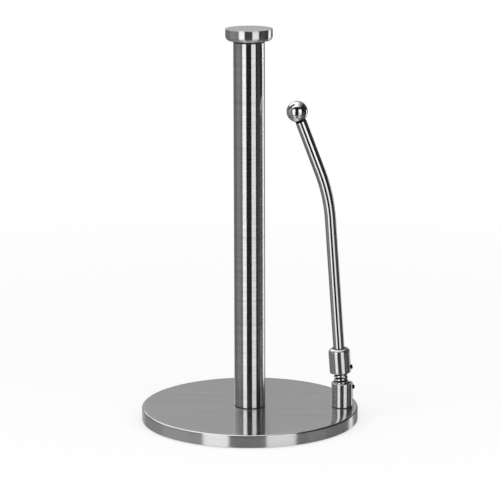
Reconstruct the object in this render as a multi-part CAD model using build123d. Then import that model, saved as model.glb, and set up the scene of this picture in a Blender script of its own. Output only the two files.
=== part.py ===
from build123d import *

import math
import os

# Paper towel holder: a weighted round foot, a fixed pole with a cap, and a sprung arm that leans on the roll.
# Millimetres, +Z up. The origin is on the table, on the axis of the pole. The arm stands towards +X.

# Foot: drawn cover, weight inside it and pad underneath
BASE_DIAMETER = 177.8
BASE_HEIGHT = 10.5
COVER_SHEET = 0.8
COVER_BEND_RADIUS = 0.4
COVER_ROLL_WIDTH = 6.0
COVER_ROLL_ANGLE = 3.0
COVER_LIP_RADIUS = 0.2
WEIGHT_CLEARANCE = 0.4
PAD_THICKNESS = 1.5
PAD_STAND_OFF = 0.2
PAD_MARGIN = 2.0
PAD_EDGE_CHAMFER = 0.3

# Pole and cap
OVERALL_HEIGHT = 322.4
POLE_DIAMETER = 25.4
POLE_WALL = 1.0
POLE_END_CHAMFER = 0.3
POLE_PLUG_LENGTH = 18.0
CAP_DIAMETER = 38.2
CAP_HEIGHT = 9.6
CAP_TOP_RADIUS = 0.2
CAP_BOTTOM_RADIUS = 3.6
CAP_STUD_DIAMETER = 6.0
CAP_STUD_GRIP = 6.0
PLUG_STUD_GRIP = 12.0

# Thin rings between the brushed pieces
POLE_GASKET_THICKNESS = 0.5
POST_GASKET_THICKNESS = 0.4
CAP_GASKET_THICKNESS = 1.3
GASKET_INSET = 0.1

# Bolt that holds the pole
POLE_BOLT_DIAMETER = 6.0
POLE_BOLT_GRIP = 12.0
POLE_BOLT_HEAD_DIAMETER = 10.5
POLE_BOLT_HEAD_HEIGHT = 3.3
POLE_BOLT_SOCKET = 4.0
POLE_WASHER_DIAMETER = 12.0
POLE_WASHER_THICKNESS = 1.2

# Screw that holds the post
POST_SCREW_DIAMETER = 5.0
POST_SCREW_HEAD_DIAMETER = 9.5
POST_SCREW_HEAD_HEIGHT = 2.8
POST_SCREW_SOCKET = 3.0
POST_WASHER_DIAMETER = 10.0
POST_WASHER_THICKNESS = 1.0

# Post near the edge of the foot
POST_EDGE_MARGIN = 4.2
POST_WALL = 2.0
POST_BORE_DEPTH = 12.2
POST_FLOOR = 7.7
POST_FLOOR_SKIN = 1.9
POST_EDGE_CHAMFER = 0.3
POST_MOUTH_CHAMFER = 0.4
POST_SET_SCREW_DROP = 3.6

# Coil spring that the arm bends on
SPRING_DIAMETER = 11.6
SPRING_WIRE = 2.0
SPRING_PITCH = 2.9
SPRING_GAP = 8.5

# Collar on top of the spring
COLLAR_POCKET = 10.0
COLLAR_WEB = 1.6
COLLAR_TOP_RADIUS = 3.3
COLLAR_BOTTOM_RADIUS = 0.6
COLLAR_SET_SCREW_RISE = 4.1

# Bent arm
ARM_LEAN = 3.9
ARM_DIAMETER = 9.2
ARM_WALL = 1.0
ARM_SEAT = 8.9
ARM_LOWER_LENGTH = 127.5
ARM_UPPER_LENGTH = 64.3
ARM_BEND_ANGLE = 16.74
ARM_BEND_RADIUS = 136.0

# Ball on the arm's end
BALL_DIAMETER = 17.2
NECK_LENGTH = 1.7
NECK_INSET = 0.3
TIP_PLUG_LENGTH = 12.0
BALL_STUD_DIAMETER = 4.0
BALL_STUD_GRIP = 6.0
TIP_STUD_GRIP = 8.0

# Grub screws
SET_SCREW_DIAMETER = 4.0
SET_SCREW_STAND = 1.5
SET_SCREW_SOCKET = 2.0
SET_SCREW_POINT = 0.8
SET_SCREW_CHAMFER = 0.4

# Clearances on the radius, or between two faces
HOLE_CLEARANCE = 0.3
THREAD_CLEARANCE = 0.05
SEAT_CLEARANCE = 0.05
COUNTERBORE_CLEARANCE = 0.5
HEAD_RECESS = 0.3
HEAD_EDGE_RADIUS = 1.2
SPRING_CLEARANCE = 0.15
SPRING_END_CLEARANCE = 0.2

# Share of its width that a hexagon socket is sunk
SOCKET_DEPTH_RATIO = 0.5

# Foot: heights and radii that follow
cover_radius = BASE_DIAMETER / 2
roll_tilt = math.radians(COVER_ROLL_ANGLE)
cover_edge_radius = COVER_BEND_RADIUS + COVER_SHEET
cover_flat_radius = cover_radius - cover_edge_radius * (1 - math.sin(roll_tilt)) - COVER_ROLL_WIDTH
cover_roll_radius = COVER_ROLL_WIDTH / math.sin(roll_tilt)
weight_top = BASE_HEIGHT - COVER_SHEET
weight_radius = cover_radius - COVER_SHEET - WEIGHT_CLEARANCE
weight_bevel = cover_edge_radius + cover_roll_radius * (1 - math.cos(roll_tilt))
pole_seat_ceiling = PAD_THICKNESS + HEAD_RECESS + POLE_BOLT_HEAD_HEIGHT + POLE_WASHER_THICKNESS
post_seat_ceiling = PAD_THICKNESS + HEAD_RECESS + POST_SCREW_HEAD_HEIGHT + POST_WASHER_THICKNESS

# Pole: heights and radii that follow
pole_radius = POLE_DIAMETER / 2
pole_bore_radius = pole_radius - POLE_WALL
pole_bottom = BASE_HEIGHT + POLE_GASKET_THICKNESS
cap_bottom = OVERALL_HEIGHT - CAP_HEIGHT
pole_top = cap_bottom - CAP_GASKET_THICKNESS

# Arm: axis that leans in from the middle of the post's bore, and the sizes of what sits on it
lean = math.radians(ARM_LEAN)
spring_radius = SPRING_DIAMETER / 2
post_bore_radius = spring_radius / math.cos(lean) + POST_BORE_DEPTH * math.tan(lean) + SPRING_CLEARANCE
post_radius = post_bore_radius + POST_WALL
post_reach = cover_radius - POST_EDGE_MARGIN - post_radius
post_bottom = BASE_HEIGHT + POST_GASKET_THICKNESS
post_bore_floor = post_bottom + POST_FLOOR
post_top = post_bore_floor + POST_BORE_DEPTH
collar_bottom = POST_BORE_DEPTH / math.cos(lean) + SPRING_GAP
collar_web_bottom = collar_bottom + COLLAR_POCKET
arm_foot = collar_web_bottom + COLLAR_WEB
collar_top = arm_foot + ARM_SEAT
arm_radius = ARM_DIAMETER / 2
arm_bore_radius = arm_radius - ARM_WALL
arm_corner = collar_top + ARM_LOWER_LENGTH
ball_radius = BALL_DIAMETER / 2
ball_flat_distance = math.sqrt(ball_radius**2 - arm_radius**2)

POST_PLACE = Pos(post_reach, 0, 0)
ARM_AXIS = Plane(
    origin=(post_reach, 0, post_bore_floor),
    x_dir=(math.cos(lean), 0, math.sin(lean)),
    z_dir=(-math.sin(lean), 0, math.cos(lean)),
)


def upright(radius, bottom, top):
    """Plain round solid on the Z axis between two heights."""
    return Pos(0, 0, bottom) * Cylinder(radius, top - bottom, align=(Align.CENTER, Align.CENTER, Align.MIN))


def ring(outer_radius, inner_radius, bottom, top):
    """Round solid with a plain bore right through."""
    return upright(outer_radius, bottom, top) - upright(inner_radius, bottom, top)


def key_socket(width, bottom, top):
    """Six-sided space for a key, of a width across flats."""
    outline = RegularPolygon(width / 2, 6, major_radius=False)
    return Pos(0, 0, bottom) * extrude(outline, top - bottom)


def cover_form(inset, bottom):
    """Solid form of the foot, drawn in by an inset at the top and the side."""
    with BuildPart() as form:
        with BuildSketch(Plane.XZ):
            with BuildLine():
                flat = Line((0, BASE_HEIGHT - inset), (cover_flat_radius, BASE_HEIGHT - inset))
                roll = JernArc(flat @ 1, flat % 1, cover_roll_radius - inset, -COVER_ROLL_ANGLE)
                edge = JernArc(roll @ 1, roll % 1, cover_edge_radius - inset, COVER_ROLL_ANGLE - 90)
                Polyline(edge @ 1, (cover_radius - inset, bottom), (0, bottom), flat @ 0)
            make_face()
        revolve(axis=Axis.Z)
    return form.part


def pole_bolt_hole(bottom, top):
    """Clearance hole for the pole's bolt."""
    return upright(POLE_BOLT_DIAMETER / 2 + HOLE_CLEARANCE, bottom, top)


def post_screw_hole(bottom, top):
    """Clearance hole for the post's screw."""
    return POST_PLACE * upright(POST_SCREW_DIAMETER / 2 + HOLE_CLEARANCE, bottom, top)


def base_cover():
    """Drawn sheet cover with a rolled edge, open underneath, with holes for the bolt and the screw."""
    shell = cover_form(0, PAD_STAND_OFF) - cover_form(COVER_SHEET, PAD_STAND_OFF)
    shell = fillet(shell.edges().group_by(Axis.Z)[0], COVER_LIP_RADIUS)
    shell -= pole_bolt_hole(weight_top, BASE_HEIGHT)
    shell -= post_screw_hole(weight_top, BASE_HEIGHT)
    return shell


def base_weight():
    """Cast disc with a bevelled upper edge and a sunk seat for each screw head."""
    with BuildPart() as disc:
        with BuildSketch(Plane.XZ):
            Polygon(
                (0, PAD_THICKNESS),
                (weight_radius, PAD_THICKNESS),
                (weight_radius, weight_top - weight_bevel),
                (cover_flat_radius, weight_top),
                (0, weight_top),
                align=None,
            )
        revolve(axis=Axis.Z)
    pole_seat = POLE_WASHER_DIAMETER / 2 + COUNTERBORE_CLEARANCE
    post_seat = POST_WASHER_DIAMETER / 2 + COUNTERBORE_CLEARANCE
    weight = disc.part - pole_bolt_hole(PAD_THICKNESS, weight_top)
    weight -= post_screw_hole(PAD_THICKNESS, weight_top)
    weight -= upright(pole_seat, PAD_THICKNESS, pole_seat_ceiling)
    weight -= POST_PLACE * upright(post_seat, PAD_THICKNESS, post_seat_ceiling)
    return weight


def underside_pad():
    """Soft sheet that the holder stands on, which also covers the screw heads."""
    pad = upright(weight_radius - PAD_MARGIN, 0, PAD_THICKNESS)
    return chamfer(pad.edges().group_by(Axis.Z)[0], PAD_EDGE_CHAMFER)


def button_screw(diameter, head_diameter, head_height, socket, head_top, tip):
    """Screw that points up, with a rounded head below its seat and a key socket in the head."""
    head = upright(head_diameter / 2, head_top - head_height, head_top)
    head = fillet(head.edges().group_by(Axis.Z)[0], HEAD_EDGE_RADIUS)
    depth = socket * SOCKET_DEPTH_RATIO
    head -= key_socket(socket, head_top - head_height, head_top - head_height + depth)
    return head + upright(diameter / 2, head_top, tip)


def pole_bolt():
    """Bolt from the underside of the weight into the foot of the pole."""
    return button_screw(
        POLE_BOLT_DIAMETER,
        POLE_BOLT_HEAD_DIAMETER,
        POLE_BOLT_HEAD_HEIGHT,
        POLE_BOLT_SOCKET,
        pole_seat_ceiling - POLE_WASHER_THICKNESS,
        pole_bottom + POLE_BOLT_GRIP,
    )


def pole_bolt_washer():
    """Flat washer under the bolt's head."""
    bore = POLE_BOLT_DIAMETER / 2 + HOLE_CLEARANCE
    return ring(POLE_WASHER_DIAMETER / 2, bore, pole_seat_ceiling - POLE_WASHER_THICKNESS, pole_seat_ceiling)


def post_screw():
    """Screw from the underside of the weight into the foot of the post."""
    return POST_PLACE * button_screw(
        POST_SCREW_DIAMETER,
        POST_SCREW_HEAD_DIAMETER,
        POST_SCREW_HEAD_HEIGHT,
        POST_SCREW_SOCKET,
        post_seat_ceiling - POST_WASHER_THICKNESS,
        post_bore_floor - POST_FLOOR_SKIN,
    )


def post_screw_washer():
    """Flat washer under the screw's head."""
    bore = POST_SCREW_DIAMETER / 2 + HOLE_CLEARANCE
    washer_bottom = post_seat_ceiling - POST_WASHER_THICKNESS
    return POST_PLACE * ring(POST_WASHER_DIAMETER / 2, bore, washer_bottom, post_seat_ceiling)


def pole_gasket():
    """Thin dark ring that keeps the pole off the brushed cover."""
    bore = POLE_BOLT_DIAMETER / 2 + HOLE_CLEARANCE
    return ring(pole_radius - GASKET_INSET, bore, BASE_HEIGHT, pole_bottom)


def post_gasket():
    """Thin dark ring that keeps the post off the brushed cover."""
    bore = POST_SCREW_DIAMETER / 2 + HOLE_CLEARANCE
    return POST_PLACE * ring(post_radius - GASKET_INSET, bore, BASE_HEIGHT, post_bottom)


def cap_gasket():
    """Thin dark ring between the head of the pole and the cap."""
    bore = CAP_STUD_DIAMETER / 2 + HOLE_CLEARANCE
    return ring(pole_radius - GASKET_INSET, bore, pole_top, cap_bottom)


def pole_tube():
    """Straight tube with both outer ends broken."""
    tube = upright(pole_radius, pole_bottom, pole_top)
    ends = tube.edges().filter_by(GeomType.CIRCLE)
    return chamfer(ends, POLE_END_CHAMFER) - upright(pole_bore_radius, pole_bottom, pole_top)


def pole_foot_plug():
    """Plug bonded into the foot of the tube, tapped for the bolt."""
    thread = POLE_BOLT_DIAMETER / 2 + THREAD_CLEARANCE
    return ring(pole_bore_radius - SEAT_CLEARANCE, thread, pole_bottom, pole_bottom + POLE_PLUG_LENGTH)


def pole_head_plug():
    """Plug bonded into the head of the tube, tapped for the cap's stud."""
    thread = CAP_STUD_DIAMETER / 2 + THREAD_CLEARANCE
    return ring(pole_bore_radius - SEAT_CLEARANCE, thread, pole_top - POLE_PLUG_LENGTH, pole_top)


def cap_stud():
    """Headless stud between the head plug and the cap."""
    return upright(CAP_STUD_DIAMETER / 2, pole_top - PLUG_STUD_GRIP, cap_bottom + CAP_STUD_GRIP)


def top_cap():
    """Turned knob, wider than the pole, with a blind thread for the stud."""
    cap = upright(CAP_DIAMETER / 2, cap_bottom, OVERALL_HEIGHT)
    cap = fillet(cap.edges().group_by(Axis.Z)[-1], CAP_TOP_RADIUS)
    cap = fillet(cap.edges().group_by(Axis.Z)[0], CAP_BOTTOM_RADIUS)
    return cap - upright(CAP_STUD_DIAMETER / 2 + THREAD_CLEARANCE, cap_bottom, cap_bottom + CAP_STUD_GRIP)


def set_screw(length):
    """Grub screw that lies along +X from its point to its key socket."""
    grub = upright(SET_SCREW_DIAMETER / 2, 0, length)
    grub = chamfer(grub.edges().group_by(Axis.Z)[0], SET_SCREW_POINT)
    grub = chamfer(grub.edges().group_by(Axis.Z)[-1], SET_SCREW_CHAMFER)
    grub -= key_socket(SET_SCREW_SOCKET, length - SET_SCREW_SOCKET, length)
    return Plane.YZ * grub


def set_screw_hole():
    """Tapped hole along +X, long enough to pass the wall of the post or the collar."""
    return Plane.YZ * upright(SET_SCREW_DIAMETER / 2 + THREAD_CLEARANCE, 0, 2 * post_radius)


def arm_post():
    """Turned post, bored for the spring from above and tapped for its screw from below."""
    post = upright(post_radius, post_bottom, post_top)
    post = chamfer(post.edges().filter_by(GeomType.CIRCLE), POST_EDGE_CHAMFER)
    post -= upright(post_bore_radius, post_bore_floor, post_top)
    mouth = post.edges().group_by(Axis.Z)[-1].sort_by(SortBy.RADIUS)[0]
    post = chamfer(mouth, POST_MOUTH_CHAMFER)
    thread = POST_SCREW_DIAMETER / 2 + THREAD_CLEARANCE
    post -= upright(thread, post_bottom, post_bore_floor - POST_FLOOR_SKIN)
    post -= Pos(0, 0, post_top - POST_SET_SCREW_DROP) * set_screw_hole()
    return POST_PLACE * post


def post_set_screw():
    """Grub screw that pins the foot of the spring, with its end standing out of the post."""
    height = post_top - POST_SET_SCREW_DROP
    spring_side = spring_radius / math.cos(lean) - (height - post_bore_floor) * math.tan(lean)
    point = spring_side + SPRING_CLEARANCE + SET_SCREW_DIAMETER / 2 * math.tan(lean)
    return Pos(post_reach + point, 0, height) * set_screw(post_radius + SET_SCREW_STAND - point)


def tension_spring():
    """Coil of round wire from the floor of the post's bore to the web of the collar."""
    foot = spring_radius * math.tan(lean) + SPRING_END_CLEARANCE
    coil_start = foot + SPRING_WIRE / 2
    coil_end = collar_web_bottom - SPRING_END_CLEARANCE - SPRING_WIRE / 2
    coil = Helix(SPRING_PITCH, coil_end - coil_start, spring_radius - SPRING_WIRE / 2, center=(0, 0, coil_start))
    section = Plane(origin=coil @ 0, z_dir=coil % 0) * Circle(SPRING_WIRE / 2)
    return ARM_AXIS * sweep(section, path=coil, is_frenet=True)


def arm_collar():
    """Turned collar with a pocket for the spring below and a seat for the arm above."""
    collar = upright(post_radius, collar_bottom, collar_top)
    collar = fillet(collar.edges().group_by(Axis.Z)[-1], COLLAR_TOP_RADIUS)
    collar = fillet(collar.edges().group_by(Axis.Z)[0], COLLAR_BOTTOM_RADIUS)
    collar -= upright(spring_radius + SPRING_CLEARANCE, collar_bottom, collar_web_bottom)
    collar -= upright(arm_radius + SEAT_CLEARANCE, arm_foot, collar_top)
    collar -= Pos(0, 0, collar_bottom + COLLAR_SET_SCREW_RISE) * set_screw_hole()
    return ARM_AXIS * collar


def collar_set_screw():
    """Grub screw that pins the head of the spring, with its end standing out of the collar."""
    point = spring_radius + SPRING_CLEARANCE
    grub = set_screw(post_radius + SET_SCREW_STAND - point)
    return ARM_AXIS * (Pos(point, 0, collar_bottom + COLLAR_SET_SCREW_RISE) * grub)


def arm_path():
    """Centre line of the arm: a long straight, a gentle bend towards the pole and a short straight."""
    tangent = ARM_BEND_RADIUS * math.tan(math.radians(ARM_BEND_ANGLE) / 2)
    with BuildLine(Plane.XZ) as line:
        lower = Line((0, arm_foot), (0, arm_corner - tangent))
        bend = JernArc(lower @ 1, lower % 1, ARM_BEND_RADIUS, ARM_BEND_ANGLE)
        PolarLine(bend @ 1, ARM_UPPER_LENGTH - tangent, direction=bend % 1)
    return line.wire()


def arm_tube():
    """Round tube bent once."""
    path = arm_path()
    foot = Plane(origin=path @ 0, z_dir=path % 0)
    tube = sweep(foot * Circle(arm_radius), path=path) - sweep(foot * Circle(arm_bore_radius), path=path)
    return ARM_AXIS * tube


def on_arm_end(shape):
    """Shape moved from the origin to the end of the arm, with +Z along the arm."""
    path = arm_path()
    return ARM_AXIS * (Plane(origin=path @ 1, z_dir=path % 1) * shape)


def tip_plug():
    """Plug bonded into the end of the arm, with a narrow neck that the ball sits on."""
    plug = upright(arm_bore_radius - SEAT_CLEARANCE, -TIP_PLUG_LENGTH, 0)
    plug += upright(arm_radius - NECK_INSET, 0, NECK_LENGTH)
    plug -= upright(BALL_STUD_DIAMETER / 2 + THREAD_CLEARANCE, -TIP_PLUG_LENGTH, NECK_LENGTH)
    return on_arm_end(plug)


def ball_stud():
    """Headless stud between the tip plug and the ball."""
    return on_arm_end(upright(BALL_STUD_DIAMETER / 2, -TIP_STUD_GRIP, NECK_LENGTH + BALL_STUD_GRIP))


def ball_finial():
    """Polished ball with a flat seat and a blind thread."""
    ball = Pos(0, 0, NECK_LENGTH + ball_flat_distance) * Sphere(ball_radius)
    ball -= upright(ball_radius, NECK_LENGTH - ball_radius, NECK_LENGTH)
    thread = BALL_STUD_DIAMETER / 2 + THREAD_CLEARANCE
    ball -= upright(thread, NECK_LENGTH, NECK_LENGTH + BALL_STUD_GRIP)
    return on_arm_end(ball)


PIECES = [
    base_cover,
    base_weight,
    underside_pad,
    pole_bolt,
    pole_bolt_washer,
    post_screw,
    post_screw_washer,
    pole_gasket,
    post_gasket,
    cap_gasket,
    pole_tube,
    pole_foot_plug,
    pole_head_plug,
    cap_stud,
    top_cap,
    arm_post,
    post_set_screw,
    tension_spring,
    arm_collar,
    collar_set_screw,
    arm_tube,
    tip_plug,
    ball_stud,
    ball_finial,
]

os.makedirs("parts", exist_ok=True)
for piece in PIECES:
    solid = piece()
    solid.label = piece.__name__
    export_step(solid, f"parts/{piece.__name__}.step")
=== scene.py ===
"""Dressed model of a free-standing paper towel holder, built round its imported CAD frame.

Metres, +Z up. The origin is on the table under the pole, and the sprung arm stands towards +X. Every metal
piece that shows is made again here as a fine mesh with its own map of brush lines. Hidden pieces keep their
CAD meshes.
"""

import logging
import math
from dataclasses import dataclass, field
from enum import Enum
from typing import Any

import bmesh
import bpy
from mathutils import Euler, Matrix, Vector


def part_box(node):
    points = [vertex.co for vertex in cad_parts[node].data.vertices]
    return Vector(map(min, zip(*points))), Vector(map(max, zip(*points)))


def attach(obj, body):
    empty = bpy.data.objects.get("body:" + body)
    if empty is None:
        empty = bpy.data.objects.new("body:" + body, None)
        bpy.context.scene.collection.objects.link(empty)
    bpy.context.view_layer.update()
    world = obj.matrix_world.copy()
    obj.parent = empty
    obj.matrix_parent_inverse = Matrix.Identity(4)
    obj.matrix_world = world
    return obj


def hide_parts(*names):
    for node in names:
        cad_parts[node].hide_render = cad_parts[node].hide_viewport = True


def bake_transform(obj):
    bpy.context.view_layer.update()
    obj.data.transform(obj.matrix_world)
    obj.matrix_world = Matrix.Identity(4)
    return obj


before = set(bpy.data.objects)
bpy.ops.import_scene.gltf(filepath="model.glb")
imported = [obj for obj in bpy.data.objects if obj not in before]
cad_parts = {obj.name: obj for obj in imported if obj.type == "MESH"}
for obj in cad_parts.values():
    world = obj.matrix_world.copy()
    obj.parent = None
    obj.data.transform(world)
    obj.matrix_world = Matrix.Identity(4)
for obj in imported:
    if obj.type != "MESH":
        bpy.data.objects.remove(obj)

LOG = logging.getLogger("paper_towel_holder")
MM = 0.001
BRUSH_MAP = "brush"
# Mesh attribute that holds each point's share of painted shade.
PAINTED_SHADE_MAP = "painted_shade"
SHARP_ANGLE = math.radians(32)
EDGE_INSET_MM = 0.04
POINT_RADIUS_MM = 1e-7
BROAD_LINE_SHARE = 0.35
LINE_CONTRAST = {"From Min": 0.3, "From Max": 0.7}
LINE_CLOUD_SHARE = 0.4
GRAIN_CLOUD_SHARE = 0.5
GRAIN_CONTRAST = {"From Min": 0.35, "From Max": 0.65}
BACK = Vector((0, 1, 0))
UP = Vector((0, 0, 1))


class Body(Enum):
    """CAD bodies that pieces ride on."""

    BASE = "base"
    SPRING = "spring"
    ARM = "arm"


class Lines(Enum):
    """Which way the finish lines run on a face of a turned piece."""

    ROUND = "round the axis"
    ACROSS = "straight, along X"


class Section(Enum):
    """Outline of a turned piece at one height."""

    CIRCLE = "circle"
    HEXAGON = "hexagon, given by half its width across flats"


def linear(code: str) -> tuple[float, float, float, float]:
    """Turns an sRGB hex colour into linear RGBA.

    Args:
        code: Six hex digits, with or without a leading #.

    Returns:
        Linear red, green, blue and an alpha of 1.
    """
    digits = code.lstrip("#")
    parts = [int(digits[i : i + 2], 16) / 255 for i in (0, 2, 4)]
    low = [p / 12.92 if p <= 0.04045 else ((p + 0.055) / 1.055) ** 2.4 for p in parts]
    return low[0], low[1], low[2], 1.0


def add_node(tree: Any, kind: str, inputs: dict | None = None, **settings: Any) -> Any:
    """Adds one node with its settings and its inputs.

    Args:
        tree: Shader or geometry node tree.
        kind: Blender's name for the node type.
        inputs: Values, output sockets or nodes whose result is meant, by the input's name or number.
        settings: Values of the node's own properties.

    Returns:
        The new node.
    """
    node = tree.nodes.new(kind)
    for name, value in settings.items():
        setattr(node, name, value)
    for name, value in (inputs or {}).items():
        if isinstance(value, bpy.types.Node):
            value = next(output for output in value.outputs if output.enabled)
        if isinstance(value, bpy.types.NodeSocket):
            tree.links.new(value, node.inputs[name])
        else:
            node.inputs[name].default_value = value
    return node


def blank_material(name: str) -> tuple[Any, Any]:
    """Makes a node material with an empty tree.

    Args:
        name: Name of the material.

    Returns:
        The material and its node tree.
    """
    material = bpy.data.materials.new(name)
    material.use_nodes = True
    material.node_tree.nodes.clear()
    return material, material.node_tree


@dataclass(frozen=True)
class Finish:
    """Surface whose tone, roughness and relief follow its own marks. Sizes in millimetres."""

    name: str
    tone: str
    shade: str
    roughness: float
    swing: float
    relief: float
    cloud: float
    metallic: float = field(default=1.0, kw_only=True)
    specular: float = field(default=0.5, kw_only=True)

    def marks(self, tree: Any, here: Any, cloud: Any) -> tuple[Any, Any, Any]:
        """Adds the nodes that draw the marks.

        Args:
            tree: Node tree of the material.
            here: Socket of the place on the piece.
            cloud: Node of the slow clouds.

        Returns:
            What drives the tone, what drives the sheen, and the height of the relief.
        """
        raise NotImplementedError

    def lay_painted_shade(self, tree: Any, tones: Any) -> Any:
        """Colour after painted shade is laid over the tones, which is nothing on most finishes."""
        return tones

    def lay(self, tree: Any) -> dict[str, Any]:
        """Inputs of the surface that only this kind of finish has."""
        return {}

    def material(self) -> Any:
        """Builds the material.

        Returns:
            The material, with tone, roughness and relief that follow the marks.
        """
        material, tree = blank_material(self.name)
        here = add_node(tree, "ShaderNodeTexCoord").outputs["Object"]
        cloud = add_node(tree, "ShaderNodeTexNoise",
                         {"Vector": here, "Scale": 1 / (self.cloud * MM), "Detail": 2.0})
        share, sheen, height = self.marks(tree, here, cloud)
        tones = add_node(tree, "ShaderNodeMix",
                         {"Factor": share, 6: linear(self.shade), 7: linear(self.tone)}, data_type="RGBA")
        rough = add_node(tree, "ShaderNodeMapRange", {"Value": sheen, "To Min": self.roughness + self.swing,
                                                      "To Max": self.roughness - self.swing})
        relief = add_node(tree, "ShaderNodeBump",
                          {"Strength": 1.0, "Distance": self.relief * MM, "Height": height})
        surface = add_node(tree, "ShaderNodeBsdfPrincipled", {
            "Base Color": self.lay_painted_shade(tree, tones), "Metallic": self.metallic, "Roughness": rough,
            "Specular IOR Level": self.specular, "Normal": relief, **self.lay(tree)})
        add_node(tree, "ShaderNodeOutputMaterial", {"Surface": surface})
        return material


@dataclass(frozen=True)
class LinedMetal(Finish):
    """Metal with fine parallel lines from a belt, a wheel or a die, read from the piece's own brush map.

    The map's U runs across the lines and its V along them, in metres.
    """

    anisotropy: float
    line_width: float
    line_length: float
    # Colour of the painted shade laid over the tones by the painted shade attribute; empty for none.
    painted_shade: str = ""

    def marks(self, tree: Any, here: Any, cloud: Any) -> tuple[Any, Any, Any]:
        """Draws fine lines over broader ones.

        Args:
            tree: Node tree of the material.
            here: Socket of the place on the piece; not used, as the lines follow the brush map.
            cloud: Node of the slow clouds.

        Returns:
            The lines for the tone, the lines with some cloud for the sheen, and the lines for the relief.
        """
        place = add_node(tree, "ShaderNodeUVMap", uv_map=BRUSH_MAP)
        across, along = 1 / (self.line_width * MM), 1 / (self.line_length * MM)
        layers = []
        for wider, longer, detail, roughness in ((1, 1, 4.0, 0.7), (7, 3, 2.0, 0.5)):
            spot = add_node(tree, "ShaderNodeMapping",
                            {"Vector": place, "Scale": (across / wider, along / longer, 1)})
            layers.append(add_node(tree, "ShaderNodeTexNoise", {
                "Vector": spot, "Scale": 1.0, "Detail": detail, "Roughness": roughness},
                noise_dimensions="2D"))
        both = add_node(tree, "ShaderNodeMix", {"Factor": BROAD_LINE_SHARE, 2: layers[0], 3: layers[1]},
                        data_type="FLOAT")
        lines = add_node(tree, "ShaderNodeMapRange", {"Value": both, **LINE_CONTRAST})
        wander = add_node(tree, "ShaderNodeMix", {"Factor": LINE_CLOUD_SHARE, 2: lines, 3: cloud},
                          data_type="FLOAT")
        return lines, wander, lines

    def lay_painted_shade(self, tree: Any, tones: Any) -> Any:
        """Lays painted shade over the tones, where the piece has some.

        Args:
            tree: Node tree of the material.
            tones: Node of the bare metal's colour.

        Returns:
            The node of the colour that shows.
        """
        if not self.painted_shade:
            return tones
        shade_share = add_node(tree, "ShaderNodeAttribute", attribute_name=PAINTED_SHADE_MAP).outputs["Fac"]
        return add_node(tree, "ShaderNodeMix", {"Factor": shade_share, 6: tones, 7: linear(self.painted_shade)},
                        data_type="RGBA")

    def lay(self, tree: Any) -> dict[str, Any]:
        """Smears reflections across the lines."""
        tangent = add_node(tree, "ShaderNodeTangent", direction_type="UV_MAP", uv_map=BRUSH_MAP)
        return {"Anisotropic": self.anisotropy, "Tangent": tangent}


@dataclass(frozen=True)
class GrainedSurface(Finish):
    """Surface with an even grain and slow clouds, such as a casting, plating, rubber or a mirror polish."""

    grain: float

    def marks(self, tree: Any, here: Any, cloud: Any) -> tuple[Any, Any, Any]:
        """Draws the grain and mixes it with the clouds.

        Args:
            tree: Node tree of the material.
            here: Socket of the place on the piece.
            cloud: Node of the slow clouds.

        Returns:
            The mixture for the tone and for the sheen, and the grain alone for the relief.
        """
        grain = add_node(tree, "ShaderNodeTexNoise",
                         {"Vector": here, "Scale": 1 / (self.grain * MM), "Detail": 3.0, "Roughness": 0.6})
        both = add_node(tree, "ShaderNodeMix", {"Factor": GRAIN_CLOUD_SHARE, 2: grain, 3: cloud},
                        data_type="FLOAT")
        spread = add_node(tree, "ShaderNodeMapRange", {"Value": both, **GRAIN_CONTRAST})
        return spread, spread, grain


# Stainless sheet ground on a belt: straight satin lines along X that keep upright reflections crisp and smear
# them only away from the viewer. Real lines are about 0.06 mm wide; 0.5 mm is drawn so that they show.
SHEET_STEEL = LinedMetal("brushed_stainless_sheet", "#DEDEDD", "#C5C5C5", 0.17, 0.02, 0.0002, 45.0,
                         1.0, 0.5, 70.0)

# Wall of the drawn cover: the same sheet ground round the edge, more open, so dark reflections lift to grey.
RIM_STEEL = LinedMetal("ground_stainless_rim", "#DADAD9", "#CFCFCF", 0.21, 0.02, 0.0002, 45.0, 1.0, 0.5, 70.0,
                       metallic=0.8)

# Stainless ground between centres: lines round the axis, so lamps show as crisp upright bars with soft ends.
# The lines are drawn 0.6 mm apart, coarser than the real ones, so that they show.
TURNED_STEEL = LinedMetal("turned_stainless", "#E0E0E0", "#C3C3C3", 0.15, 0.015, 0.00005, 45.0,
                          1.0, 0.6, 60.0)

# The cap has a coarser grind than the pole, so its dark bars are greyer. Its lines too are drawn 0.5 mm wide.
CAP_STEEL = LinedMetal("ground_stainless_cap", "#DADADA", "#CECECE", 0.22, 0.02, 0.0002, 45.0, 1.0, 0.5, 40.0,
                       metallic=0.97)

# Post and collar are turned like the pole but more openly, so their dark bars lift a little too.
FITTING_STEEL = LinedMetal("turned_stainless_fittings", "#E0E0E0", "#C3C3C3", 0.15, 0.015, 0.00005, 45.0,
                           1.0, 0.6, 60.0, metallic=0.95)

# Stainless tube with a satin polish: brighter and tighter than the ground pieces, lines hardly visible.
ROD_STEEL = LinedMetal("satin_stainless_tube", "#DCDCDC", "#D7D7D7", 0.14, 0.01, 0.00004, 45.0,
                       0.9, 0.5, 90.0)

# Hard-drawn spring wire, tempered and then polished from outside: bright faces with die lines along the wire.
# Near-black painted shade covers the wire where it faces the next coils and the spring's inside.
SPRING_WIRE = LinedMetal("drawn_spring_wire", "#F0F0F0", "#E4E4E4", 0.1, 0.02, 0.0001, 45.0, 0.3, 0.25, 30.0,
                         painted_shade="#0C0B0B")

# Inside of a bored hole: coarse tool marks in a dark tone that is painted shade, for the shadow in the bore
# round the spring.
BORE_PAINTED_SHADE = GrainedSurface("bore_painted_shade", "#444445", "#2A2A2B", 0.5, 0.08, 0.003, 2.0, 0.3)

# Buffed stainless ball: a mirror with the faintest haze of wiping marks.
MIRROR_STEEL = GrainedSurface("mirror_stainless", "#DCDCDC", "#D6D6D6", 0.04, 0.01, 0.0, 9.0, 1.5)

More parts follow.
